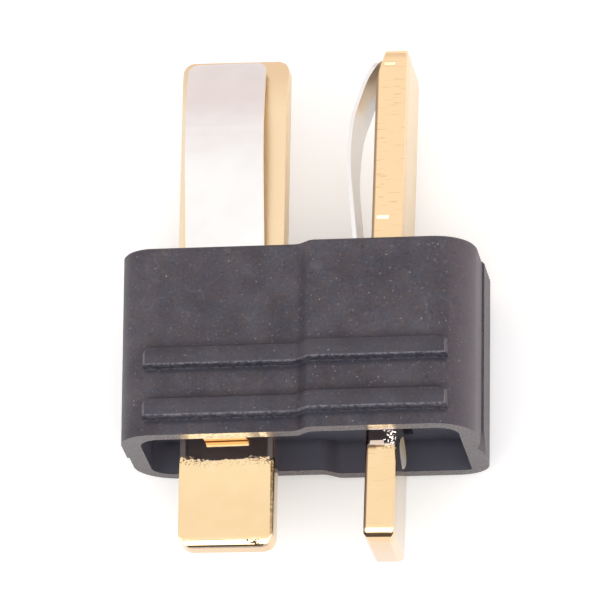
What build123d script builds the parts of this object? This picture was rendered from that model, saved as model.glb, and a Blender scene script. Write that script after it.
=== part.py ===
from build123d import *
import os

# Male T plug battery connector, in millimetres.
# The origin is the centre of the mating face, where the blades leave the housing.
# +Y is the mating direction, +X runs from the thin half to the thick half,
# and +Z points out of the front face. The plug lies on its back.

# Housing: two moulded halves that meet in a parting plane at mid thickness, each
# shifted by half of the mould's mismatch. Pairs of radii are for the thin and thick end.
housing_width = 16.35
housing_length = 9.0
thin_thickness = 6.77
thick_thickness = 8.0
mould_shift = 0.1
front_corner_radii = (1.5, 1.9)
back_corner_radii = (2.0, 1.5)
front_step_x = 0.3
back_step_x = 0.85
step_run = 0.62
step_radius = 0.6
mating_edge_chamfer = 0.1

# Witness groove where the mould halves part, on both ends of the housing, and the chip
# in the rim at the foot of the one on the thick end
groove_width = 0.12
groove_depth = 0.2
chip_width = 1.9
chip_height = 0.95
chip_depth = 0.3

# Grip ribs across the front and the back
rib_width = 0.92
rib_proud = 0.55
rib_pitch = 2.43
rib_count = 2
first_rib_from_rim = 0.74
rib_end_margin = 1.15
rib_end_radius = 0.45
rib_edge_radius = 0.12

# Recess for the solder joints, open at the rim
face_wall = 0.72
end_wall = 0.82
recess_depth = 1.5
recess_corner_radius = 1.0
recess_sharp_radius = 0.25

# Contacts: two equal stampings, each a wide blade with a narrower solder tab
contact_thickness = 1.4
blade_width = 4.95
blade_length = 16.1
tab_width = 4.4
tab_length = 7.44
blade_corner_radius = 0.55
tab_corner_radius = 0.65
ramp_length = 1.6
ramp_depth = 0.45
tab_bevel_length = 0.28
tab_bevel_depth = 0.24
contact_edge_radius = 0.1
flat_contact_x = -3.47
upright_contact_x = 3.885
flat_lean = 0.5
upright_lean = 1.25
flat_seat_thickness = 1.4
upright_seat_thickness = 1.1

# Leaf springs: thin strips that bow away from their blades. Each bend is the gap
# from the blade's face to the strip and the distance down from the strip's tip.
# At its root the strip comes back to the blade, a little above the blade's shoulders.
spring_thickness = 0.18
spring_width = 3.65
spring_shift = -0.12
spring_corner_radius = 0.5
spring_setback = 0.23
spring_tip_dip = 0.14
spring_rise = (0.48, 1.0)
spring_knee = (1.08, 2.9)
spring_waist = (1.22, 4.9)
spring_root_gap = 0.02
spring_root_height = 0.57
spring_bend_radii = [3, 5, 10, 5]
flat_spring_lean = -0.4

# Tails of the springs, beside the tabs. The flat contact's spring has a foot bent out
# from the end of its tail, and the foot's tip hangs a little lower than its bend.
tail_width = 1.95
flat_tail_length = 2.46
upright_tail_length = 1.3
foot_height = 0.62
foot_dip = 0.05
foot_bend_radius = 0.1

# Room around the contacts and springs in their slots
slot_clearance = 0.15
seat_clearance = 0.03

# Levels along the mating direction, from the mating face
rim_y = -housing_length
recess_floor_y = rim_y + recess_depth
web_middle_y = recess_floor_y / 2

# Half sizes that both faces and both contacts share
half_width = housing_width / 2
half_shift = mould_shift / 2
thin_face = thin_thickness / 2
thick_face = thick_thickness / 2
half_contact = contact_thickness / 2

# Planes through the slots: x across the blade, y in the mating direction and z
# towards the spring. The origin is in the middle of the housing's solid web.
flat_slot = Plane((flat_contact_x, web_middle_y, 0), x_dir=(1, 0, 0), z_dir=(0, 0, 1))
upright_slot = Plane((upright_contact_x, web_middle_y, 0), x_dir=(0, 0, 1), z_dir=(-1, 0, 0))

# The contacts lean a little in their slots, towards the thick half
flat_plane = flat_slot.rotated((0, 0, -flat_lean))
upright_plane = upright_slot.rotated((0, 0, -upright_lean))
flat_spring_plane = flat_slot.rotated((0, 0, -flat_spring_lean))

# Levels in those planes
mouth = -web_middle_y
web_floor = recess_floor_y - web_middle_y
flat_seat = web_floor + flat_seat_thickness
upright_seat = web_floor + upright_seat_thickness


def side_view(plane, across=0):
    """Plane that shows a contact on edge: x towards the spring, y in the mating direction."""
    return Plane(plane.from_local_coords((across, 0, 0)), x_dir=plane.z_dir, z_dir=-plane.x_dir)


def cross_section(plane, level):
    """Plane across a contact at one level: x towards the spring, y across the blade."""
    return Plane(plane.from_local_coords((0, level, 0)), x_dir=plane.z_dir, z_dir=plane.y_dir)


def stepped_outline(left, right, step_x, thin_level, thick_level, end_radii):
    """Closed outline from the parting plane to a face that steps from thin to thick."""
    path = FilletPolyline(
        (left, 0),
        (left, thin_level),
        (step_x - step_run / 2, thin_level),
        (step_x + step_run / 2, thick_level),
        (right, thick_level),
        (right, 0),
        radius=[end_radii[0], step_radius, step_radius, end_radii[1]],
    )
    Line(path @ 1, path @ 0)


def moulded_half(side, step_x, corner_radii):
    """One half of the housing, from the parting plane to its face; side is 1 or -1."""
    shift = -side * half_shift
    with BuildPart() as half:
        with BuildSketch(Plane.XZ):
            with BuildLine():
                stepped_outline(
                    shift - half_width,
                    shift + half_width,
                    step_x,
                    side * thin_face,
                    side * thick_face,
                    corner_radii,
                )
            make_face()
        extrude(amount=housing_length)
        mating_edges = half.faces().sort_by(Axis.Y)[-1].edges()
        chamfer(mating_edges.sort_by(Axis.Z, reverse=side < 0)[1:], mating_edge_chamfer)
    return half.part


def end_notch(side, width, depth):
    """Outline of a V in one end of the housing, centred on the parting plane."""
    end = side * (half_width + half_shift)
    Polyline((end, width / 2), (end - side * depth, 0), (end, -width / 2), close=True)


def grip_rib(side, step_x, rib_y):
    """A bar across one face that follows its step; rib_y is its edge nearer the rim."""
    end_x = half_width - rib_end_margin
    with BuildPart() as rib:
        with BuildSketch(Plane.XZ.offset(-rib_y - rib_width)):
            with BuildLine():
                stepped_outline(
                    -end_x,
                    end_x,
                    step_x,
                    side * (thin_face + rib_proud),
                    side * (thick_face + rib_proud),
                    (0, 0),
                )
            make_face()
        extrude(amount=rib_width)
        end_edges = rib.edges().filter_by(Axis.Z).group_by(Axis.Y)
        fillet(end_edges[-1], rib_end_radius)
        outline = rib.edges().filter_by(lambda edge: side * edge.center().Z > thin_face)
        fillet(outline.filter_by(Axis.Y, reverse=True), rib_edge_radius)
    return rib.part


def slot_room(plane, seat):
    """Room for a contact and its spring, from the mating face through to the recess."""
    slot_thickness = contact_thickness + 2 * slot_clearance
    strip_room = half_contact + spring_root_gap + spring_thickness + slot_clearance
    pocket_mouth = half_contact + spring_waist[0] + spring_thickness + slot_clearance
    with BuildPart() as room:
        with BuildSketch(cross_section(plane, seat)):
            Rectangle(slot_thickness, blade_width + 2 * slot_clearance)
        extrude(amount=mouth - seat)
        with BuildSketch(side_view(plane, spring_shift)):
            with BuildLine():
                Polyline((0, seat), (strip_room, seat), (pocket_mouth, mouth), (0, mouth), close=True)
            make_face()
        extrude(amount=spring_width / 2 + slot_clearance, both=True)
        with BuildSketch(cross_section(plane, web_floor)):
            Rectangle(slot_thickness, tab_width + 2 * slot_clearance)
            with Locations((0, spring_shift)):
                Rectangle(strip_room, tail_width + 2 * slot_clearance, align=(Align.MIN, Align.CENTER))
        extrude(amount=seat - web_floor)
    return room.part


def blade_contact(plane, seat):
    """Stamped contact: its shoulders rest on the seat, and its tab runs on below."""
    shoulder = seat + seat_clearance
    tip = shoulder + blade_length
    tab_end = shoulder - tab_length
    with BuildPart() as contact:
        with BuildSketch(plane):
            with BuildLine():
                FilletPolyline(
                    (0, tip),
                    (blade_width / 2, tip),
                    (blade_width / 2, shoulder),
                    (tab_width / 2, shoulder),
                    (tab_width / 2, tab_end),
                    (0, tab_end),
                    radius=[blade_corner_radius, 0, 0, tab_corner_radius],
                )
                mirror(about=Plane.YZ)
            make_face()
        extrude(amount=half_contact, both=True)
        wide_faces = contact.faces().sort_by(SortBy.AREA)[-2:]
        fillet(wide_faces.edges(), contact_edge_radius)
        bevels = (
            (half_contact, tip, -ramp_length, ramp_depth),
            (half_contact, tab_end, tab_bevel_length, tab_bevel_depth),
            (-half_contact, tab_end, tab_bevel_length, -tab_bevel_depth),
        )
        with BuildSketch(side_view(plane)):
            for face, end, run, depth in bevels:
                with BuildLine():
                    Polyline((face, end + run), (face - depth, end), (face, end), close=True)
                make_face()
        extrude(amount=blade_width, both=True, mode=Mode.SUBTRACT)
    return contact.part


def leaf_spring(plane, seat, tail_length, with_foot):
    """Strip bowed away from the blade, with a narrow tail beside the tab."""
    shoulder = seat + seat_clearance
    tip = shoulder + blade_length - spring_setback
    tail_end = shoulder - tail_length
    tail_face = half_contact + spring_root_gap
    path = [(half_contact - spring_tip_dip, tip)]
    for gap, from_tip in (spring_rise, spring_knee, spring_waist):
        path.append((half_contact + gap, tip - from_tip))
    path += [(tail_face, shoulder + spring_root_height), (tail_face, tail_end)]
    bend_radii = list(spring_bend_radii)
    if with_foot:
        path.append((tail_face + foot_height, tail_end - foot_dip))
        bend_radii.append(foot_bend_radius)
    with BuildPart() as spring:
        with BuildSketch(side_view(plane)):
            with BuildLine():
                FilletPolyline(*path, radius=bend_radii)
                offset(amount=spring_thickness, side=Side.LEFT)
            make_face()
        extrude(amount=spring_width, both=True)
        with BuildSketch(plane) as blank:
            with Locations((spring_shift, shoulder)):
                Rectangle(spring_width, tip - shoulder, align=(Align.CENTER, Align.MIN))
            fillet(blank.vertices().group_by(Axis.Y)[-1], spring_corner_radius)
            with Locations((spring_shift, shoulder)):
                Rectangle(tail_width, tail_length + foot_dip, align=(Align.CENTER, Align.MAX))
        reach = half_contact + spring_waist[0] + foot_height + spring_thickness
        extrude(amount=reach, both=True, mode=Mode.INTERSECT)
    return spring.part


with BuildPart() as housing:
    add(moulded_half(1, front_step_x, front_corner_radii))
    add(moulded_half(-1, back_step_x, back_corner_radii))
    for number in range(rib_count):
        rib_y = rim_y + first_rib_from_rim + number * rib_pitch
        add(grip_rib(1, front_step_x, rib_y))
        add(grip_rib(-1, back_step_x, rib_y))
    with BuildSketch(Plane.XZ.offset(housing_length)):
        with BuildLine():
            inner_end = half_width - end_wall
            thin_inner = thin_face - face_wall
            thick_inner = thick_face - face_wall
            FilletPolyline(
                (-inner_end, thin_inner),
                (front_step_x - step_run / 2, thin_inner),
                (front_step_x + step_run / 2, thick_inner),
                (inner_end, thick_inner),
                (inner_end, -thick_inner),
                (back_step_x + step_run / 2, -thick_inner),
                (back_step_x - step_run / 2, -thin_inner),
                (-inner_end, -thin_inner),
                radius=[
                    recess_corner_radius,
                    step_radius,
                    step_radius,
                    recess_corner_radius,
                    recess_sharp_radius,
                    step_radius,
                    step_radius,
                    recess_corner_radius,
                ],
                close=True,
            )
        make_face()
    extrude(amount=-recess_depth, mode=Mode.SUBTRACT)
    add(slot_room(flat_slot, flat_seat), mode=Mode.SUBTRACT)
    add(slot_room(upright_slot, upright_seat), mode=Mode.SUBTRACT)
    with BuildSketch(Plane.XZ):
        for side in (-1, 1):
            with BuildLine():
                end_notch(side, groove_width, groove_depth)
            make_face()
    extrude(amount=housing_length, mode=Mode.SUBTRACT)
    with BuildSketch(Plane.XZ.offset(housing_length)):
        with BuildLine():
            end_notch(1, chip_width, chip_depth)
        make_face()
    with BuildSketch(Plane.XZ.offset(housing_length - chip_height)):
        with BuildLine():
            end_notch(1, groove_width, groove_depth)
        make_face()
    loft(mode=Mode.SUBTRACT)
housing.part.label = "housing"

with BuildPart() as flat_contact:
    add(blade_contact(flat_plane, flat_seat))
flat_contact.part.label = "flat_contact"

with BuildPart() as upright_contact:
    add(blade_contact(upright_plane, upright_seat))
upright_contact.part.label = "upright_contact"

with BuildPart() as flat_contact_spring:
    add(leaf_spring(flat_spring_plane, flat_seat, flat_tail_length, with_foot=True))
flat_contact_spring.part.label = "flat_contact_spring"

with BuildPart() as upright_contact_spring:
    add(leaf_spring(upright_plane, upright_seat, upright_tail_length, with_foot=False))
upright_contact_spring.part.label = "upright_contact_spring"

os.makedirs("parts", exist_ok=True)
for piece in (housing, flat_contact, upright_contact, flat_contact_spring, upright_contact_spring):
    export_step(piece.part, f"parts/{piece.part.label}.step")
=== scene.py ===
# %% [markdown]
# The object is a small power plug for a battery lead: a black moulded housing with two
# gold-plated blades, each with a silver leaf spring on one face. The solids come from the
# model that the frame loads. This scene gives every surface its finish, and sets up the
# floor, the light and the camera of a plain product photograph. Lengths in the finishes
# are in millimetres: x runs along the housing's width, y towards the blades' tips, z up.

# %% Load the frame
import math

import bpy
from mathutils import Matrix, Vector


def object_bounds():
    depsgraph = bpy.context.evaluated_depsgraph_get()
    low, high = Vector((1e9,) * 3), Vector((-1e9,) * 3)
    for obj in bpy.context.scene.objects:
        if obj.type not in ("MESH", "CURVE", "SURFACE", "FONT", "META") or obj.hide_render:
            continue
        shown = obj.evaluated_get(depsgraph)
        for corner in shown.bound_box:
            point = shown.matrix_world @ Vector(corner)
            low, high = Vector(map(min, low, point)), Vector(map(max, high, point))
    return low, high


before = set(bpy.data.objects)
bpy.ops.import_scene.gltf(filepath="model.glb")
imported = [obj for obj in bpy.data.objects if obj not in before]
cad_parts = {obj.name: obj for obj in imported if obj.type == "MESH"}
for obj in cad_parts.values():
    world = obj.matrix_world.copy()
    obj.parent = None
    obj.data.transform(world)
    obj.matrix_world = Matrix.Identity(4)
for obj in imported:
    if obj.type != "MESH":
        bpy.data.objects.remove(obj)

MM = 0.001
cad_low, cad_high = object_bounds()
print("solids from", [round(side / MM, 2) for side in cad_low], "mm")
print("to", [round(side / MM, 2) for side in cad_high], "mm")


# %% [markdown]
# A material is a small network of nodes, and a Recipe writes one network. Each of its
# methods adds a node and returns that node's output. Numbers and outputs can go into any
# socket alike, which keeps a finish short enough to read from top to bottom.

# %% Nodes and arithmetic
def opaque(colour):
    """A colour of three numbers gets its alpha; an output of a node is left as it is."""
    return (*colour, 1) if isinstance(colour, tuple) else colour


class Recipe:
    """Writes nodes into one tree."""

    def __init__(self, tree):
        self.tree = tree

    def fill(self, socket, value):
        """Link a node's output to a socket, or type a value into it."""
        if isinstance(value, bpy.types.NodeSocket):
            self.tree.links.new(value, socket)
        else:
            socket.default_value = value

    def node(self, kind, inputs, **options):
        """Add a node; inputs maps a socket's name or number to what goes into it."""
        made = self.tree.nodes.new(kind)
        for name, value in options.items():
            setattr(made, name, value)
        for name, value in inputs.items():
            self.fill(made.inputs[name], value)
        return made

    def calculate(self, operation, first, *others):
        """Apply one operation to all values, from left to right."""
        result = first
        for other in others:
            made = self.node("ShaderNodeMath", {0: result, 1: other}, operation=operation)
            result = made.outputs[0]
        return result

    def plus(self, *values):
        return self.calculate("ADD", *values)

    def minus(self, *values):
        return self.calculate("SUBTRACT", *values)

    def times(self, *values):
        return self.calculate("MULTIPLY", *values)

    def largest(self, *values):
        return self.calculate("MAXIMUM", *values)

    def unsigned(self, value):
        return self.calculate("ABSOLUTE", value, 0.0)

    def ramp(self, value, low, high, to_low=0.0, to_high=1.0):
        """Straight ramp from to_low at low to to_high at high, flat outside."""
        ends = {"From Min": low, "From Max": high, "To Min": to_low, "To Max": to_high}
        return self.node("ShaderNodeMapRange", {"Value": value, **ends}).outputs[0]

    def band(self, value, low, high, soft):
        """1 between low and high, fading to 0 over the distance soft on both sides."""
        rise = self.ramp(value, low - soft, low)
        fall = self.ramp(value, high, high + soft, 1.0, 0.0)
        return self.times(rise, fall)

    def mixed(self, share, colour_a, colour_b):
        """colour_a where share is 0, and colour_b where it is 1."""
        inputs = {0: share, 6: opaque(colour_a), 7: opaque(colour_b)}
        return self.node("ShaderNodeMix", inputs, data_type="RGBA").outputs[2]


print("a Recipe has", ", ".join(name for name in vars(Recipe) if not name.startswith("_")))


# %% [markdown]
# A Finish is a Recipe for one new material. It knows each place in millimetres and the
# way the surface faces there, so a mark can be laid on one face or edge only. The tint
# starts as one colour, and every mark is painted over it, like coats on a real surface.
# Two ranges come back often: a noise mostly stays between 0.3 and 0.7, and a face counts
# as turned some way once that part of its normal has passed 0.6 to 0.9.

# %% A material under construction
noise_reach = (0.3, 0.7)
turned_there = (0.6, 0.9)


class Finish(Recipe):
    """A new material, with its places and the way its surface faces."""

    def __init__(self, name):
        self.material = bpy.data.materials.new(name)
        self.material.use_nodes = True
        super().__init__(self.material.node_tree)
        self.shader = self.tree.nodes["Principled BSDF"]
        self.where = self.node("ShaderNodeTexCoord", {}).outputs["Object"]
        per_metre = (1 / MM, 1 / MM, 1 / MM)
        scaled = self.node("ShaderNodeVectorMath", {0: self.where, 1: per_metre}, operation="MULTIPLY")
        self.x, self.y, self.z = self.parts_of(scaled.outputs[0])
        self.facing = self.node("ShaderNodeNewGeometry", {}).outputs["Normal"]
        self.faces_x, self.faces_y, self.faces_z = self.parts_of(self.facing)

    def parts_of(self, vector):
        """The three parts of a place or direction."""
        return tuple(self.node("ShaderNodeSeparateXYZ", {0: vector}).outputs)

    def give(self, socket, value):
        """Fill one socket of the shader."""
        self.fill(self.shader.inputs[socket], value)

    def paint(self, share, colour):
        """Lay a colour over the tint, as far as share says."""
        self.tint = self.mixed(share, self.tint, colour)

    def noise(self, scale_mm, detail=2.0, roughness=0.5, stretch=(1, 1, 1)):
        """Soft random pattern between 0 and 1, with grains about scale_mm across."""
        spread = [1 / (scale_mm * MM * side) for side in stretch]
        placed = self.node("ShaderNodeMapping", {"Vector": self.where, "Scale": spread})
        inputs = {"Vector": placed.outputs[0], "Scale": 1.0, "Detail": detail, "Roughness": roughness}
        return self.node("ShaderNodeTexNoise", inputs).outputs[0]

    def boxed(self, low, high, soft=0.03, places=None):
        """1 inside a box, fading out over soft; None leaves a direction open."""
        share = 1.0
        for place, start, end in zip(places or (self.x, self.y, self.z), low, high):
            if start is not None:
                share = self.times(share, self.band(place, start, end, soft))
        return share

    def leaned(self, x=0.0, y=0.0, z=0.0):
        """The surface normal leaned over by the given amounts."""
        lean = self.node("ShaderNodeCombineXYZ", {0: x, 1: y, 2: z}).outputs[0]
        total = self.node("ShaderNodeVectorMath", {0: self.facing, 1: lean}, operation="ADD")
        unit = self.node("ShaderNodeVectorMath", {0: total.outputs[0]}, operation="NORMALIZE")
        return unit.outputs[0]

    def bumped(self, height, height_mm, normal, strength=1.0):
        """A surface normal tilted by a height pattern that is height_mm deep."""
        inputs = {"Height": height, "Distance": height_mm * MM, "Strength": strength, "Normal": normal}
        return self.node("ShaderNodeBump", inputs).outputs[0]

    def finished(self, normal):
        """Link the tint and the normal, and give back the material."""
        self.give("Base Color", self.tint)
        self.give("Normal", normal)
        print("finish:", self.material.name, len(self.tree.nodes), "nodes")
        return self.material


print("a Finish adds", ", ".join(name for name in vars(Finish) if not name.startswith("_")))


# %% [markdown]
# The housing is black nylon from a spark-eroded mould, which leaves a fine even grain. A
# cloudy pattern and the grain set the tone between a dark and a pale black, each a little
# uneven in hue. Pale spots, dust, faint hair lines and dark pits are painted over it.

# %% Black nylon: tone and marks
def nylon_tone(nylon):
    """Grain and cloud between a dark and a pale black."""
    nylon.grain = nylon.noise(0.13, detail=4.0, roughness=0.75)
    nylon.ragged = nylon.noise(0.16, detail=3.0, roughness=0.7)
    cloud = nylon.noise(1.6, detail=4.0, roughness=0.6)
    tone = nylon.plus(nylon.times(cloud, 0.5), nylon.times(nylon.grain, 0.5))
    hue = nylon.ramp(nylon.noise(0.6), 0.40, 0.60)
    dark = nylon.mixed(hue, (0.028, 0.021, 0.030), (0.024, 0.021, 0.034))
    pale = nylon.mixed(hue, (0.077, 0.064, 0.074), (0.070, 0.064, 0.081))
    nylon.tint = nylon.mixed(nylon.ramp(tone, 0.36, 0.64), dark, pale)


def nylon_marks(nylon):
    """Spots, dust, hair lines and pits."""
    spots = nylon.ramp(nylon.noise(0.21, detail=1.0), 0.66, 0.78, 0.0, 0.5)
    nylon.paint(spots, (0.13, 0.12, 0.13))
    dust = nylon.ramp(nylon.noise(0.13, detail=1.0), 0.72, 0.78, 0.0, 0.7)
    nylon.paint(dust, (0.30, 0.28, 0.31))
    trace = nylon.unsigned(nylon.minus(nylon.noise(2.4, detail=1.5), 0.5))
    thin = nylon.ramp(trace, 0.004, 0.010, 1.0, 0.0)
    broken = nylon.ramp(nylon.noise(0.8, detail=1.0), 0.48, 0.60, 0.0, 0.20)
    nylon.paint(nylon.times(thin, broken), (0.13, 0.12, 0.14))
    pits = nylon.noise(0.17, detail=1.0, stretch=(1.4, 1, 1))
    nylon.paint(nylon.ramp(pits, 0.24, 0.33, 0.6, 0.0), (0.016, 0.012, 0.020))


print("marks on the nylon: spots, dust, hair lines, pits")


# %% [markdown]
# The lower edges of the grip ribs carry a pale, ragged painted highlight, frayed as handling
# leaves them, and the corners below them carry painted shade. The rib faces get a little
# painted shade and the rib tips a thin painted highlight. Each rib's upper side is rounded
# off softly, so the surface normal leans towards the mating end there. A leaned normal
# shows that without any more facets.

# %% Black nylon: the grip ribs
rib_lower_edges = (-8.26, -5.83)
rib_width = 0.92
rib_end = 7.0
# Colours of painted shade on the rib faces and below the ribs, and of painted highlights on the rib tips
# and lower edges.
rib_face_shade = (0.038, 0.037, 0.051)
rib_tip_highlight = (0.24, 0.22, 0.25)
edge_highlight_colour = (0.26, 0.25, 0.29)
corner_shade = (0.009, 0.009, 0.022)


def nylon_ribs(nylon):
    """Painted shade on the rib faces and in the corners below, painted highlights on the rib tips and
    lower edges; returns the lean of the upper sides.
    """
    along = nylon.ramp(nylon.outwards, rib_end - 0.1, rib_end, 1.0, 0.0)
    edge_band = lean = corner = face = 0.0
    for edge in rib_lower_edges:
        top = edge + rib_width
        edge_band = nylon.plus(edge_band, nylon.band(nylon.y, edge - 0.01, edge + 0.06, 0.06))
        lean = nylon.plus(lean, nylon.band(nylon.y, top - 0.10, top + 0.06, 0.42))
        corner = nylon.plus(corner, nylon.band(nylon.y, edge - 0.16, edge - 0.01, 0.12))
        face = nylon.plus(face, nylon.band(nylon.y, edge + 0.08, top - 0.05, 0.06))
    # painted shade on the rib faces
    nylon.paint(nylon.times(face, along, 0.35), rib_face_shade)
    tips = nylon.times(face, nylon.band(nylon.outwards, rib_end - 0.07, rib_end - 0.03, 0.03))
    tips = nylon.times(tips, nylon.ramp(nylon.ragged, 0.35, 0.55, 0.1, 0.5))
    # painted highlight on the rib tips
    nylon.paint(tips, rib_tip_highlight)
    # pale, ragged painted highlight along the lower edges of the ribs
    edge_highlight = nylon.times(edge_band, nylon.ramp(nylon.ragged, 0.40, 0.60, 0.0, 0.7), along)
    nylon.paint(edge_highlight, edge_highlight_colour)
    # painted shade in the corners below the ribs
    nylon.paint(nylon.times(corner, along, 0.5), corner_shade)
    return nylon.times(lean, along, 0.36)


print("ribs from", rib_lower_edges, "mm,", rib_width, "mm wide")


# %% [markdown]
# The edge at the mating face is dark. The right end gets painted light, a little paler and
# warmer, and the inside of the recess gets a paler, cooler painted light. The recess is found
# by its half width and by its ceiling, which is lower over the thin half of the housing than
# over the thick half.

# %% Black nylon: ends and recess
recess_half_width = 7.4
recess_half_heights = (2.70, 3.32)
step_of_halves = (0.3, 0.95)
rim_y = -9.0
mating_edge = (0.018, 0.012, 0.030)
right_end_light = (0.125, 0.098, 0.112)
recess_light = (0.078, 0.080, 0.112)


def nylon_faces(nylon):
    """Dark mating edge, and painted light on the right end and inside the recess."""
    nylon.paint(nylon.ramp(nylon.y, -0.16, -0.04, 0.0, 0.6), mating_edge)
    # painted light on the right end
    nylon.paint(nylon.ramp(nylon.faces_x, 0.35, 0.9, 0.0, 0.6), right_end_light)
    ceiling = nylon.ramp(nylon.x, *step_of_halves, *recess_half_heights)
    above = nylon.minus(nylon.unsigned(nylon.z), ceiling)
    between_ends = nylon.ramp(nylon.outwards, recess_half_width, recess_half_width + 0.02, 1.0, 0.0)
    below_ceiling = nylon.ramp(above, 0, 0.02, 1.0, 0.0)
    past_rim = nylon.ramp(nylon.y, rim_y + 0.01, rim_y + 0.03)
    inside = nylon.times(between_ends, nylon.times(below_ceiling, past_rim))
    before_mating_face = nylon.ramp(nylon.y, -0.5, -0.3, 1.0, 0.0)
    # painted light inside the recess
    nylon.paint(nylon.times(inside, before_mating_face), recess_light)


print("recess", 2 * recess_half_width, "mm wide,", [2 * half for half in recess_half_heights], "mm high")


# %% [markdown]
# The rim of the housing is flat and smoother than the grain, and painted light makes it
# paler. Above each contact it has a glare, and a third small one lies between them. A glare
# is a golden painted reflection of the gold tab over a hard smooth coat, which shines only
# at a low angle, so its gloss is weighted by the angle of view.

# %% Black nylon: the rim
rim_glares = ((-4.85, -2.25, 0.3), (-1.65, -1.40, 0.06), (3.42, 4.42, 0.1))
rim_light = (0.097, 0.078, 0.087)
tab_reflection_gold = (0.22, 0.18, 0.12)


def nylon_rim(nylon):
    """Rim paled by painted light, with glares of painted gold reflection, each given by its start, end
    and softness; returns the rim's mask.
    """
    rim = nylon.ramp(nylon.y, rim_y, rim_y + 0.02, 1.0, 0.0)
    # painted light on the rim
    nylon.paint(nylon.times(rim, 0.8), rim_light)
    glare = 0.0
    for start, end, soft in rim_glares:
        glare = nylon.plus(glare, nylon.band(nylon.x, start, end, soft))
    glare = nylon.times(glare, rim, nylon.ramp(nylon.z, 2.3, 2.6))
    glare = nylon.times(glare, nylon.ramp(nylon.ragged, 0.36, 0.54, 0.2, 1.0))
    # painted reflection of the gold tabs in the glares
    nylon.paint(nylon.times(glare, 0.4), tab_reflection_gold)
    angle = nylon.node("ShaderNodeLayerWeight", {"Blend": 0.5}).outputs["Facing"]
    nylon.give("Coat Weight", nylon.times(glare, nylon.ramp(angle, 0.3, 0.6)))
    nylon.give("Coat IOR", 3.5)
    nylon.give("Coat Roughness", 0.15)
    return rim


def make_nylon():
    nylon = Finish("black_nylon")
    nylon.outwards = nylon.unsigned(nylon.x)
    nylon_tone(nylon)
    nylon_marks(nylon)
    lean = nylon_ribs(nylon)
    nylon_faces(nylon)
    rim = nylon_rim(nylon)
    grain_gloss = nylon.ramp(nylon.grain, *noise_reach, 0.40, 0.54)
    nylon.give("Roughness", nylon.minus(grain_gloss, nylon.times(rim, 0.18)))
    depth = nylon.ramp(rim, 0, 1, 1.0, 0.12)
    return nylon.finished(nylon.bumped(nylon.grain, 0.014, nylon.leaned(y=lean), depth))


black_nylon = make_nylon()


# %% [markdown]
# The contacts are brass with a thin gold plating, satin on the blades and bright on the
# tabs. Both contacts share one base. The end faces of the tabs get painted shade, a darker
# gold. Near the housing the tint is a painted reflection of the dark recess: paler, with
# hardly any gold in it.

# %% What both platings share
dark_gold = (0.94, 0.69, 0.395)
pale_gold = (0.96, 0.72, 0.435)
# Tint of a painted reflection of the recess, and a darker gold of painted shade for the tab ends.
recess_reflection_tint = (0.96, 0.82, 0.74)
tab_end_shade = (0.85, 0.62, 0.39)
blade_root = (-0.5, 0.0)


def plating(name, gloss_on_blade, blade_tint):
    """Base of a gold finish."""
    gold = Finish(name)
    gold.cloud = gold.noise(0.9, detail=3.0)
    cloudy = gold.ramp(gold.cloud, *noise_reach)
    gold.tint = gold.mixed(cloudy, dark_gold, pale_gold)
    on_blade = gold.ramp(gold.y, *blade_root)
    gold.paint(on_blade, blade_tint)
    # painted shade on the end faces of the tabs
    gold.paint(gold.ramp(gold.faces_y, -0.9, -0.6, 1.0, 0.0), tab_end_shade)
    bright = gold.ramp(gold.cloud, *noise_reach, 0.07, 0.12)
    gold.give("Roughness", gold.largest(gold.times(on_blade, gloss_on_blade), bright))
    return gold


def finished_plating(gold, lean_x, lean_y, lean_z):
    """A slightly wavy surface, leaned by the given amounts."""
    return gold.finished(gold.bumped(gold.cloud, 0.003, gold.leaned(lean_x, lean_y, lean_z)))


print("gold near the housing", recess_reflection_tint, "and on tab ends", tab_end_shade)


# %% [markdown]
# The flat tab is a clean mirror close to the housing. That mirror ends in a wavy border,
# frayed and pitted towards the tab's corners. Beyond it the surface falls away a little,
# so it mirrors the bright tent instead of the dark recess.

# %% Flat contact: the border on the tab
tab_middle_x = -3.55
mirror_end_y = -9.4
pit_brown = (0.22, 0.13, 0.05)


def flat_border(gold):
    """Where the clean mirror ends; returns the lean of the surface beyond."""
    from_middle = gold.unsigned(gold.minus(gold.x, tab_middle_x))
    to_corner = gold.ramp(from_middle, 0.7, 2.0, 0.25, 1.0)
    wavy = gold.ramp(gold.noise(1.1, detail=1.0), *noise_reach, -0.12, 0.12)
    frayed = gold.ramp(gold.noise(0.16, detail=4.0, roughness=0.8), *noise_reach, -0.32, 0.32)
    gold.frayed = gold.times(frayed, to_corner)
    gold.border = gold.plus(gold.y, wavy, gold.frayed)
    beyond = gold.ramp(gold.border, mirror_end_y - 0.02, mirror_end_y + 0.04, 1.0, 0.0)
    clean = gold.minus(1.0, beyond)
    on_tab = gold.ramp(gold.y, -8.0, -7.5, 1.0, 0.0)
    # painted reflection of the recess on the clean mirror
    gold.paint(gold.times(clean, on_tab), recess_reflection_tint)
    pits = gold.ramp(gold.noise(0.09, detail=1.0), 0.52, 0.60)
    below_border = gold.band(gold.border, mirror_end_y - 0.22, mirror_end_y, 0.15)
    pits = gold.times(pits, below_border, to_corner)
    gold.paint(gold.times(pits, 0.8), pit_brown)
    return gold.times(beyond, gold.ramp(gold.y, -11.4, -9.8, 0.0, -0.13))


def flat_dull_strips(gold):
    """Two strips beside the clean mirror, where the plating is a little less bright."""
    places = (gold.x, gold.border)
    left = gold.boxed((-5.70, -9.3), (-5.46, -7.6), 0.04, places)
    right = gold.boxed((-1.62, -9.3), (-1.42, -7.6), 0.04, places)
    gold.give("Metallic", gold.ramp(gold.plus(left, right), 0, 1, 1.0, 0.88))


print("the flat tab mirrors the recess down to y", mirror_end_y, "mm")


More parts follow.
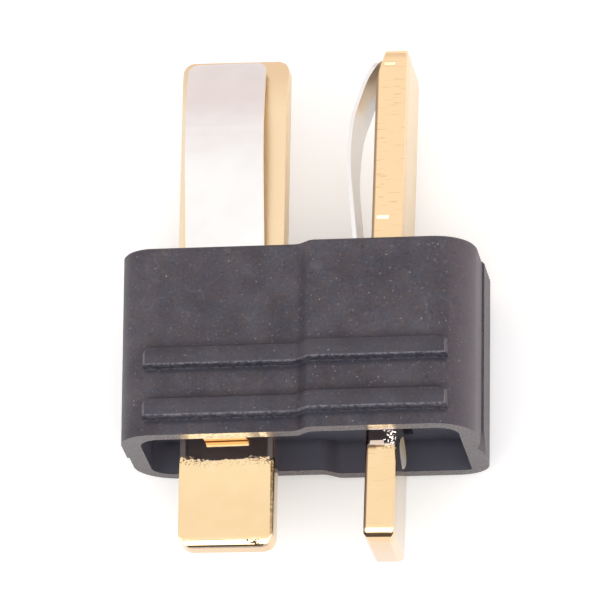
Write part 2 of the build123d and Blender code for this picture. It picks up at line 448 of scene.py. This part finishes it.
# %% [markdown]
# Stamping rolls the flat tab's edges. The bevel at its end catches the light as a white
# band with a few chips, its upper border is soft, and a dark painted reflection runs below
# it. On the right the rolled edge carries a dark painted reflection, which grows fainter
# towards the tab's end. The right side gets painted light, and the blade's left margin a
# pale painted highlight.

# %% Flat contact: the edges of the tab
# Colours of painted dark reflections, of painted light on the right side, and of a painted highlight on
# the left margin.
under_bevel_dark = (0.14, 0.08, 0.04)
rolled_edge_reflection = (0.13, 0.07, 0.03)
side_light_gold = (0.98, 0.76, 0.47)
margin_highlight = (0.92, 0.78, 0.57)


def flat_bevel(gold):
    """White band at the tab's end; returns its mask and the lean of its soft upper border."""
    bevel = gold.boxed((None, -13.6, 0.53), (None, -13.22, 0.8), 0.01)
    chips = gold.ramp(gold.noise(0.14), 0.45, 0.52)
    unchipped = gold.minus(1.0, gold.band(gold.x, -2.45, -1.95, 0.25))
    bevel = gold.times(bevel, gold.largest(chips, unchipped))
    rolled = gold.plus(gold.y, gold.times(gold.frayed, 0.2))
    on_face = gold.ramp(gold.z, 0.66, 0.69)
    rolled = gold.times(gold.ramp(rolled, -13.24, -13.06, -0.30, 0.0), on_face)
    return bevel, gold.times(rolled, gold.ramp(gold.y, -13.26, -13.24))


def flat_edges(gold):
    """Painted dark reflections below the bevel and on the rolled right edge, painted light on the right
    side, and a pale painted highlight on the blade's left margin.
    """
    under_bevel_line = gold.boxed((-5.3, -13.7, 0.28), (-1.6, -13.42, 0.45), 0.02)
    under_bevel_line = gold.times(under_bevel_line, gold.ramp(gold.frayed, -0.1, 0.1, 0.45, 0.9))
    # painted dark reflection below the bevel
    gold.paint(under_bevel_line, under_bevel_dark)
    right_side = gold.ramp(gold.faces_x, *turned_there)
    # painted light on the right side
    gold.paint(gold.times(right_side, 0.7), side_light_gold)
    right_edge = gold.boxed((-1.48, -13.0, 0.3), (-1.2, -9.4, 0.8))
    fainter = gold.ramp(gold.y, -13.2, -10.5, 0.5, 1.0)
    uneven = gold.ramp(gold.frayed, -0.15, 0.1, 0.5, 1.0)
    # painted dark reflection on the rolled right edge
    gold.paint(gold.times(right_edge, gold.times(fainter, uneven)), rolled_edge_reflection)
    left_margin = gold.ramp(gold.x, -5.75, -5.60, 1.0, 0.0)
    # painted highlight on the blade's left margin
    gold.paint(gold.times(left_margin, gold.ramp(gold.y, 0.0, 0.5)), margin_highlight)


print("edges of the flat tab: bevel, burr, rolled edge")


# %% [markdown]
# On the blade, the surface bends gently into the ramp at the tip, where the solid has a
# crease. Two leans do that, one before the crease and one past it. The whole blade also
# leans a little to the right, which narrows what it mirrors of its spring.

# %% Flat contact: the blade, and the whole finish
ramp_start_y = 8.45
flat_blade_gold = (0.955, 0.745, 0.48)


def flat_crown(gold):
    """Lean that rounds off the crease before the ramp."""
    on_ramp = gold.ramp(gold.faces_y, 0.10, 0.14)
    off_ramp = gold.minus(1.0, on_ramp)
    before = gold.times(off_ramp, gold.ramp(gold.y, 7.5, ramp_start_y - 0.01, 0.0, 0.13))
    past = gold.times(on_ramp, gold.ramp(gold.y, ramp_start_y, 9.4, -0.14, 0.0))
    return gold.times(gold.plus(before, past), gold.largest(gold.faces_z, 0.0))


def make_flat_gold():
    gold = plating("gold_flat", 0.27, flat_blade_gold)
    lean = flat_border(gold)
    bevel, rolled = flat_bevel(gold)
    flat_edges(gold)
    flat_dull_strips(gold)
    lean_x = gold.ramp(gold.y, 0.0, 0.5, 0.0, 0.03)
    lean_y = gold.plus(lean, rolled, flat_crown(gold))
    return finished_plating(gold, lean_x, lean_y, gold.times(bevel, 0.52))


gold_flat = make_flat_gold()


# %% [markdown]
# The upright contact shows its stamped edge to the camera. Fine short lines cross it, and
# two small dents on the blade and a pale dash on the tab catch the light. Each is a box
# in which the surface leans towards the bright part of the tent.

# %% Upright contact: lines and dents
upper_dent = ((3.85, 8.88, 2.3), (4.32, 8.98, 2.6))
lower_dent = ((3.56, 1.42, 2.3), (4.05, 1.52, 2.6))
dent_lean = -0.42


def upright_lines(gold):
    """Short stamping lines, fainter on the lower part of the tab."""
    lines = gold.noise(0.09, stretch=(9, 1, 9))
    strength = gold.ramp(gold.y, -10.2, -9.5, 0.17, 0.5)
    gold.paint(gold.times(strength, gold.ramp(lines, 0.28, 0.40, 1.0, 0.0)), (0.70, 0.45, 0.20))


def upright_dents(gold):
    """Two dents on the blade; returns their lean."""
    lean = 0.0
    for low, high in (upper_dent, lower_dent):
        lean = gold.plus(lean, gold.times(gold.boxed(low, high, 0.06), dent_lean))
    gold.paint(gold.boxed(*upper_dent, 0.08), (0.46, 0.39, 0.25))
    return lean


print("dents at", upper_dent[0], "and", lower_dent[0], "mm")


# %% [markdown]
# A stamping tool cuts the first part of an edge cleanly and tears the rest. On the tab
# near the housing the right half is torn, with sparkling and dark specks, and the left
# half is a clean mirror with a painted reflection of the recess, a pale dash of painted
# highlight and a dark line of painted reflection below it.

# %% Upright contact: the torn half
torn_start_x = 3.93
torn_dark = (0.12, 0.07, 0.04)
torn_bright = (0.20, 0.17, 0.13)
# Colours of a painted highlight on the dash and of a painted dark reflection below it.
dash_highlight = (0.74, 0.60, 0.50)
recess_dark_reflection = (0.30, 0.18, 0.08)


def upright_torn(gold):
    """Torn half with bright and dark specks; returns its lean."""
    specks = gold.noise(0.12, detail=2.5, roughness=0.6)
    torn_edge = gold.plus(gold.x, gold.ramp(specks, *noise_reach, -0.12, 0.12))
    places = (torn_edge, gold.y, gold.z)
    torn = gold.boxed((torn_start_x, -9.55, 2.0), (4.7, -7.6, 2.4), 0.05, places)
    sparks = gold.times(torn, gold.ramp(specks, 0.54, 0.60, 0.0, -0.30))
    dark_specks = gold.times(torn, gold.ramp(specks, 0.42, 0.48, 0.75, 0.0))
    gold.paint(dark_specks, torn_dark)
    gold.paint(gold.times(sparks, -3.0), torn_bright)
    return sparks


def upright_clean(gold):
    """Clean half with a pale painted highlight in a dash and a dark painted reflection in a line;
    returns its lean.
    """
    # painted reflection of the recess near the housing
    gold.paint(gold.boxed((None, -9.38, 1.9), (None, -7.6, 2.4)), recess_reflection_tint)
    dash = gold.boxed((3.30, -9.33, 2.0), (3.86, -9.19, 2.4), 0.05)
    # painted highlight on the dash
    gold.paint(dash, dash_highlight)
    dark_reflection_line = gold.boxed((3.2, -9.49, 2.0), (torn_start_x, -9.40, 2.4))
    # painted dark reflection of the recess in a line
    gold.paint(gold.times(dark_reflection_line, 0.85), recess_dark_reflection)
    return gold.times(dash, -0.15)


print("the torn half starts at x", torn_start_x, "mm")


# %% [markdown]
# The contact's left edge is a thin dark line that follows its slight slant. The lower end
# of the tab is pinker, a painted reflection of the white sheet, and its right side is paler
# below the bevel, painted light where the light from the white sheet washes it out.

# %% Upright contact: edges and sides
slant_per_mm = 0.0218


def upright_edges(gold):
    """Dark left edge, pink painted reflection on the lower end and pale painted light on the right side.
    """
    slanted = gold.times(gold.plus(gold.y, 9.5), slant_per_mm)
    across = gold.minus(gold.x, slanted)
    left_edge = gold.times(gold.ramp(across, 3.16, 3.21, 1.0, 0.0), gold.ramp(gold.z, 1.9, 2.0))
    left_edge = gold.times(left_edge, gold.ramp(gold.y, -9.0, 0.0, 0.9, 0.7))
    gold.paint(left_edge, (0.15, 0.09, 0.07))
    at_end = gold.ramp(gold.y, -13.6, -13.4, 1.0, 0.0)
    # painted reflection of the white sheet on the lower end of the tab
    gold.paint(gold.times(at_end, gold.ramp(gold.z, -1.0, 1.6, 0.7, 0.0)), (0.88, 0.72, 0.60))
    right_side = gold.ramp(gold.faces_x, *turned_there)
    below_bevel = gold.ramp(gold.z, 0.9, 1.6, 1.0, 0.0)
    side_tint = gold.mixed(gold.ramp(gold.y, -9.0, 0.0), (0.97, 0.82, 0.65), (0.965, 0.79, 0.56))
    # painted light on the right side below the bevel
    gold.paint(gold.times(right_side, below_bevel), side_tint)


print("slant of the upright contact:", round(math.degrees(math.atan(slant_per_mm)), 2), "degrees")


# %% [markdown]
# On the right side of the upright tab, half inside the recess, the photograph shows a
# bright glint in the shape of a leaf. Two parabolas bound it: its half width is largest
# in the middle, and falls off with the square of the distance from there.

# %% Upright contact: the glint, and the whole finish
leaf_middle = (-9.0, -0.4)
leaf_half_length = 0.8
leaf_half_width = 1.35
upright_blade_gold = (0.965, 0.72, 0.43)


def upright_leaf(gold):
    """Leaf-shaped glint on the right side; returns its mask."""
    middle_y, middle_z = leaf_middle
    from_middle = gold.calculate("DIVIDE", gold.minus(gold.y, middle_y), leaf_half_length)
    squared = gold.calculate("POWER", from_middle, 2.0)
    half_width = gold.minus(leaf_half_width, gold.times(squared, leaf_half_width))
    within = gold.minus(half_width, gold.unsigned(gold.minus(gold.z, middle_z)))
    leaf = gold.times(gold.ramp(within, 0.0, 0.12), gold.ramp(gold.x, 4.2, 4.3))
    leaf_tint = gold.mixed(gold.ramp(gold.y, -9.2, -8.9), (0.97, 0.88, 0.82), (0.97, 0.80, 0.52))
    gold.paint(leaf, leaf_tint)
    gold.give("Metallic", gold.ramp(leaf, 0, 1, 1.0, 0.45))
    return leaf


def make_upright_gold():
    gold = plating("gold_upright", 0.3, upright_blade_gold)
    upright_lines(gold)
    dents = upright_dents(gold)
    torn = upright_torn(gold)
    clean = upright_clean(gold)
    upright_edges(gold)
    leaf = upright_leaf(gold)
    lean_y = gold.plus(dents, clean, torn, gold.times(leaf, -0.12))
    return finished_plating(gold, 0.0, lean_y, gold.times(leaf, 0.4))


gold_upright = make_upright_gold()


# %% [markdown]
# The springs are thin silver strip, bright and a little cloudy, so the border between two
# reflections wanders on them. The upright spring's inner face is duller, and darker near
# its tip. The tails, beside the tabs, are amber: dark amber low down and cream high up.

# %% Spring strip
def strip_colours(strip):
    """Silver, the inner face of the upright spring, and the amber tails; returns the tails' mask."""
    cloudy = strip.ramp(strip.cloud, *noise_reach)
    strip.tint = strip.mixed(cloudy, (0.90, 0.88, 0.87), (0.94, 0.92, 0.91))
    inner = strip.times(strip.ramp(strip.faces_x, 0.4, 0.7), strip.ramp(strip.x, 1.0, 1.1))
    to_tip = strip.ramp(strip.y, 7.0, 8.6)
    strip.paint(inner, strip.mixed(to_tip, (0.97, 0.97, 0.97), (0.56, 0.58, 0.63)))
    strip.give("Metallic", strip.ramp(inner, 0, 1, 1.0, 0.7))
    amber = strip.mixed(strip.ramp(strip.z, 0.78, 0.90), (0.30, 0.12, 0.02), (0.88, 0.50, 0.13))
    amber = strip.mixed(strip.ramp(strip.z, 1.10, 1.24), amber, (0.95, 0.80, 0.50))
    tail = strip.ramp(strip.y, -7.6, -7.4, 1.0, 0.0)
    strip.paint(tail, amber)
    return tail


def make_strip():
    strip = Finish("spring_strip")
    strip.cloud = strip.noise(1.2, detail=3.0)
    tail = strip_colours(strip)
    underside = strip.ramp(strip.faces_z, -0.9, -0.7, 0.5, 0.0)
    dull = strip.largest(underside, strip.times(tail, 0.6))
    strip.give("Roughness", strip.largest(dull, strip.ramp(strip.cloud, *noise_reach, 0.14, 0.22)))
    drift = strip.noise(2.2, detail=3.0, roughness=0.6)
    wandering = strip.leaned(y=strip.ramp(drift, *noise_reach, -0.05, 0.05))
    return strip.finished(strip.bumped(strip.cloud, 0.003, wandering))


spring_strip = make_strip()


# %% [markdown]
# The solids carry their material slots already. Each slot takes the finish of its piece,
# and both springs share one finish, since they are cut from the same strip.

# %% Give each solid its finish
finishes = {
    "housing": black_nylon,
    "flat_contact": gold_flat,
    "upright_contact": gold_upright,
    "flat_contact_spring": spring_strip,
    "upright_contact_spring": spring_strip,
}
for name, finish in finishes.items():
    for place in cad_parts[name].material_slots:
        place.material = finish
    print(name, "->", finish.name)


# %% [markdown]
# The photograph was taken in a light tent with its opening towards the near side. Its
# brightness changes mostly along the arch that runs over the object from back to front,
# so the world is one ramp over the angle in that arch: dark in the opening, very bright
# in the softbox above it, white overhead, and a little dimmer and warmer at the back. The
# camera itself sees plain white behind the sheet.

# %% The light tent
softbox = 3.0
plain_white = (1 / softbox, 1 / softbox, 1 / softbox)
light_on_surfaces = 0.85
light_in_mirrors = 1.03
tent_stops = [
    (-90, (0.10, 0.09, 0.09)),
    (-58, (0.12, 0.11, 0.11)),
    (-50, (0.6, 0.6, 0.6)),
    (-46, (softbox, softbox, softbox)),
    (-16, (softbox, softbox, softbox)),
    (-9, (1.08, 1.08, 1.07)),
    (0, (1.06, 1.06, 1.05)),
    (9, (1.04, 1.03, 1.02)),
    (18, (1.0, 0.98, 0.97)),
    (28, (0.97, 0.92, 0.91)),
    (50, (0.86, 0.77, 0.75)),
    (90, (0.84, 0.76, 0.74)),
]


def ray_kind(recipe, *kinds):
    """1 for rays of the named kinds and 0 for others."""
    rays = recipe.node("ShaderNodeLightPath", {})
    return recipe.plus(0.0, *(rays.outputs[kind] for kind in kinds))


def arch_colours(sky):
    """Colour ramp over the angle in the arch, with its colours as shares of the softbox."""
    direction = sky.node("ShaderNodeTexCoord", {}).outputs["Generated"]
    _, forward, upward = sky.node("ShaderNodeSeparateXYZ", {0: direction}).outputs
    degrees = sky.times(sky.calculate("ARCTAN2", forward, upward), 180 / math.pi)
    colours = sky.node("ShaderNodeValToRGB", {0: sky.ramp(degrees, -90, 90)})
    stops = colours.color_ramp.elements
    while len(stops) < len(tent_stops):
        stops.new(0.5)
    for stop, (angle, colour) in zip(stops, tent_stops):
        stop.position = (angle + 90) / 180
        stop.color = (*(share / softbox for share in colour), 1)
    return colours.outputs[0]


def make_tent():
    world = bpy.data.worlds.new("light_tent")
    bpy.context.scene.world = world
    world.use_nodes = True
    sky = Recipe(world.node_tree)
    background = world.node_tree.nodes["Background"]
    seen_plain = ray_kind(sky, "Is Camera Ray")
    sky.fill(background.inputs["Color"], sky.mixed(seen_plain, arch_colours(sky), plain_white))
    mirrored = ray_kind(sky, "Is Camera Ray", "Is Glossy Ray", "Is Transmission Ray")
    strength = sky.ramp(mirrored, 0, 1, light_on_surfaces * softbox, light_in_mirrors * softbox)
    sky.fill(background.inputs["Strength"], strength)


make_tent()
print("light tent with", len(tent_stops), "stops over the arch")


# %% [markdown]
# The plug lies on a white sheet. To the camera the sheet is nearly as bright as pure
# white, and a share of it is lit as an ordinary surface, which keeps the faint shadow.
# The polished metal sees a smaller glow, so it doesn't mirror too bright a sheet.

# %% The floor
floor_reach = 3.0
glow_for_camera = 0.28
glow_for_mirrors = 0.11


def make_sheet():
    material = bpy.data.materials.new("white_sheet")
    material.use_nodes = True
    sheet = Recipe(material.node_tree)
    shader = sheet.tree.nodes["Principled BSDF"]
    shader.inputs["Base Color"].default_value = (0.9, 0.9, 0.9, 1)
    shader.inputs["Roughness"].default_value = 0.9
    shader.inputs["Specular IOR Level"].default_value = 0.0
    to_camera = sheet.times(ray_kind(sheet, "Is Camera Ray"), glow_for_camera)
    to_mirrors = sheet.times(ray_kind(sheet, "Is Glossy Ray", "Is Transmission Ray"), glow_for_mirrors)
    lift = sheet.plus(to_camera, to_mirrors)
    glow = sheet.node("ShaderNodeEmission", {"Color": (1, 1, 1, 1), "Strength": lift})
    both = sheet.node("ShaderNodeAddShader", {0: shader.outputs[0], 1: glow.outputs[0]})
    sheet.fill(sheet.tree.nodes["Material Output"].inputs["Surface"], both.outputs[0])
    return material


def make_floor():
    mesh = bpy.data.meshes.new("floor")
    reach = floor_reach
    corners = [(-reach, -reach), (reach, -reach), (reach, reach), (-reach, reach)]
    mesh.from_pydata([(x, y, cad_low[2]) for x, y in corners], [], [(0, 1, 2, 3)])
    floor = bpy.data.objects.new("floor", mesh)
    bpy.context.scene.collection.objects.link(floor)
    mesh.materials.append(make_sheet())


make_floor()
print("floor at", round(cad_low[2] / MM, 2), "mm")


# %% [markdown]
# The camera looks steeply down from a little to the right of the near side, through a
# long lens, so that parallel edges stay nearly parallel. Its angles and distance were
# fitted to the edges in the photograph, with the middle of the rim as the fixed point.

# %% The camera
picture_side = 600
sensor_mm = 36
pixels_per_radian = 9000
distance = 412.34 * MM
turn = math.radians(7.539)
lift = math.radians(18.235)
roll = math.radians(0.627)
rim_middle = Vector((0, rim_y * MM, 0))
rim_middle_px = (305.02, 453.20)

flat_share = math.cos(lift)
towards_camera = Vector((math.sin(turn) * flat_share, -math.sin(lift), math.cos(turn) * flat_share))
level_right = Vector((math.cos(turn), 0, -math.sin(turn)))
level_up = towards_camera.cross(level_right)
right = math.cos(roll) * level_right + math.sin(roll) * level_up
up = towards_camera.cross(right)
off_right = (rim_middle_px[0] - picture_side / 2) * distance / pixels_per_radian
off_up = (picture_side / 2 - rim_middle_px[1]) * distance / pixels_per_radian
stand = rim_middle + distance * towards_camera - off_right * right - off_up * up

lens = bpy.data.cameras.new("camera")
lens.sensor_width = sensor_mm
lens.lens = pixels_per_radian * sensor_mm / picture_side
camera = bpy.data.objects.new("camera", lens)
bpy.context.scene.collection.objects.link(camera)
turned = Matrix((right, up, towards_camera)).transposed().to_4x4()
camera.matrix_world = Matrix.Translation(stand) @ turned
bpy.context.scene.camera = camera
bpy.context.scene.view_settings.view_transform = "Standard"
print("camera at", [round(side, 4) for side in stand], "lens", round(lens.lens), "mm")


# %% [markdown]
